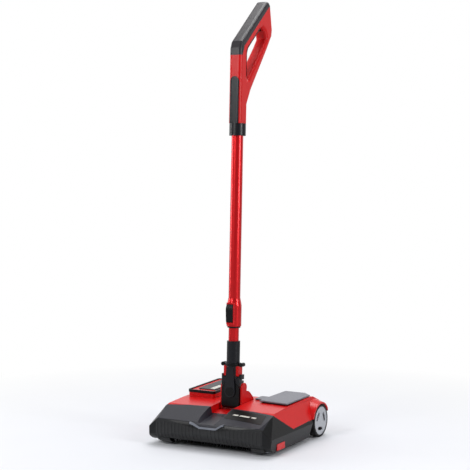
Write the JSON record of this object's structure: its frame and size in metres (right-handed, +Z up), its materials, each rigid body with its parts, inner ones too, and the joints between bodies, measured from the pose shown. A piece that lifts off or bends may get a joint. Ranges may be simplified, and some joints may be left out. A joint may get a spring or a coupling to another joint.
{
  "type": "carpet sweeper",
  "caption": "Upright powered floor sweeper: wide low head with a driven roller brush, rear wheels, lift-out dirt box and battery, tilting telescopic tube and a loop handle.",
  "frame": {"origin": "on the floor under the middle of the sweeper's footprint", "axes": "+Z up, +Y from the nose to the rear, +X towards the side with the dirt hatch"},
  "size_m": [0.374, 0.3586, 1.2053],
  "materials": {
    "gloss_red": "glossy injection-moulded",
    "black_plastic": "fine textured",
    "grey_plastic": "fine textured",
    "light_grey": "satin",
    "panel_grey": "satin",
    "red_tube": "red anodised",
    "grip": "soft ribbed",
    "tyre_rubber": "matt",
    "bristle": "nylon bristle",
    "steel": "plain",
    "bronze": "sintered",
    "belt": "toothed",
    "board": "coated",
    "pale_label": "printed blank",
    "cell": "wrapped"
  },
  "bodies": {
    "head": {"lower_housing": "black_plastic", "upper_housing": "gloss_red", "front_cover": "grey_plastic", "front_bumper": "black_plastic", "front_lip": "light_grey", "badge_plate": "black_plastic", "bay_rim": "black_plastic", "bay_bezel": "gloss_red", "battery_dock": "black_plastic", "motor_case": "steel", "motor_bracket": "black_plastic", "drive_belt": "belt", "control_board": "board", "brush_bearings": "bronze", "wheel_axles": "steel", "roller_axles": "steel", "housing_screws": "steel", "tilt_pins": "gloss_red", "dust_lip": "belt"},
    "brush": {"brush_core": "black_plastic", "brush_bristles": "bristle", "brush_shaft": "steel", "brush_pulley": "black_plastic"},
    "motor_rotor": {"motor_shaft": "steel", "motor_pulley": "black_plastic"},
    "right_wheel": {"right_wheel_hub": "light_grey", "right_wheel_tyre": "tyre_rubber"},
    "left_wheel": {"left_wheel_hub": "light_grey", "left_wheel_tyre": "tyre_rubber"},
    "right_front_roller": {"right_roller": "light_grey"},
    "left_front_roller": {"left_roller": "light_grey"},
    "dirt_container": {"dirt_box": "panel_grey", "lid_pin": "steel"},
    "hatch": {"dirt_lid": "panel_grey"},
    "catch": {"lid_latch": "panel_grey"},
    "battery": {"battery_case": "black_plastic", "battery_top": "grey_plastic", "battery_label": "pale_label", "battery_cells": "cell"},
    "battery_key": {"battery_button": "grey_plastic"},
    "roller_key": {"release_button": "gloss_red"},
    "yoke": {"yoke_block": "black_plastic", "swivel_pin": "black_plastic"},
    "fork": {"swivel_fork": "black_plastic", "inner_tube": "red_tube"},
    "lock": {"lock_collar": "black_plastic", "lock_slider": "gloss_red"},
    "handle": {"outer_tube": "red_tube", "tube_clamp": "red_tube", "clamp_bush": "black_plastic", "handle_collar": "black_plastic", "handle_shell_left": "gloss_red", "handle_shell_right": "gloss_red", "grip_rubber": "grip", "micro_switch": "black_plastic", "handle_screws": "steel"},
    "tube_key": {"telescope_button": "black_plastic"},
    "power_key": {"power_switch": "black_plastic"}
  },
  "joints": [
    {"name": "brush_spin", "type": "hinge", "parent": "head", "child": "brush", "pos_m": [0, -0.129, 0.0345], "axis": [1, 0, 0], "continuous": true},
    {"name": "motor_spin", "type": "hinge", "parent": "head", "child": "motor_rotor", "pos_m": [-0.139, -0.051, 0.038], "axis": [1, 0, 0], "continuous": true},
    {"name": "right_wheel_spin", "type": "hinge", "parent": "head", "child": "right_wheel", "pos_m": [0.17, 0.133, 0.045], "axis": [1, 0, 0], "continuous": true},
    {"name": "left_wheel_spin", "type": "hinge", "parent": "head", "child": "left_wheel", "pos_m": [-0.17, 0.133, 0.045], "axis": [1, 0, 0], "continuous": true},
    {"name": "right_roller_spin", "type": "hinge", "parent": "head", "child": "right_front_roller", "pos_m": [0.148, -0.123, 0.009], "axis": [1, 0, 0], "continuous": true},
    {"name": "left_roller_spin", "type": "hinge", "parent": "head", "child": "left_front_roller", "pos_m": [-0.148, -0.123, 0.009], "axis": [1, 0, 0], "continuous": true},
    {"name": "dirt_box_lift", "type": "slide", "parent": "head", "child": "dirt_container", "axis": [0, 0, 1], "range_m": [0, 0.11]},
    {"name": "hatch_hinge", "type": "hinge", "parent": "dirt_container", "child": "hatch", "pos_m": [0.112, 0.144, 0.1091], "axis": [-1, 0, 0], "range_deg": [0, 85]},
    {"name": "catch_slide", "type": "slide", "parent": "head", "child": "catch", "axis": [-1, 0, 0], "range_m": [0, 0.004], "stiffness_N_per_m": 300, "springref_m": -0.002},
    {"name": "battery_lift", "type": "slide", "parent": "head", "child": "battery", "axis": [0, 0, 1], "range_m": [0, 0.08]},
    {"name": "battery_key_press", "type": "slide", "parent": "battery", "child": "battery_key", "axis": [0, 0, -1], "range_m": [0, 0.003], "stiffness_N_per_m": 400, "springref_m": -0.001},
    {"name": "roller_key_press", "type": "slide", "parent": "head", "child": "roller_key", "axis": [-1, 0, 0], "range_m": [0, 0.003], "stiffness_N_per_m": 400, "springref_m": -0.001},
    {"name": "handle_tilt", "type": "hinge", "parent": "head", "child": "yoke", "pos_m": [0, -0.03085, 0.14876], "axis": [-1, 0, 0], "range_deg": [0, 70]},
    {"name": "handle_swivel", "type": "hinge", "parent": "yoke", "child": "fork", "pos_m": [0, -0.03722, 0.1395], "axis": [0, 0.9992, -0.0393], "range_deg": [-15, 15]},
    {"name": "lock_lift", "type": "slide", "parent": "fork", "child": "lock", "axis": [0, 0.0393, 0.9992], "range_m": [0, 0.012], "stiffness_N_per_m": 300, "springref_m": -0.006},
    {"name": "telescope", "type": "slide", "parent": "fork", "child": "handle", "axis": [0, 0.0393, 0.9992], "range_m": [-0.03, 0.22]},
    {"name": "tube_key_press", "type": "slide", "parent": "handle", "child": "tube_key", "axis": [0, 0.9992, -0.0393], "range_m": [0, 0.0025], "stiffness_N_per_m": 500, "springref_m": -0.001},
    {"name": "power_key_press", "type": "slide", "parent": "handle", "child": "power_key", "axis": [0, -0.6314, 0.7755], "range_m": [0, 0.003], "stiffness_N_per_m": 400, "springref_m": -0.001}
  ],
  "couplings": [
    {"joint": "motor_spin", "follows": "brush_spin", "ratio": 1.6667}
  ]
}
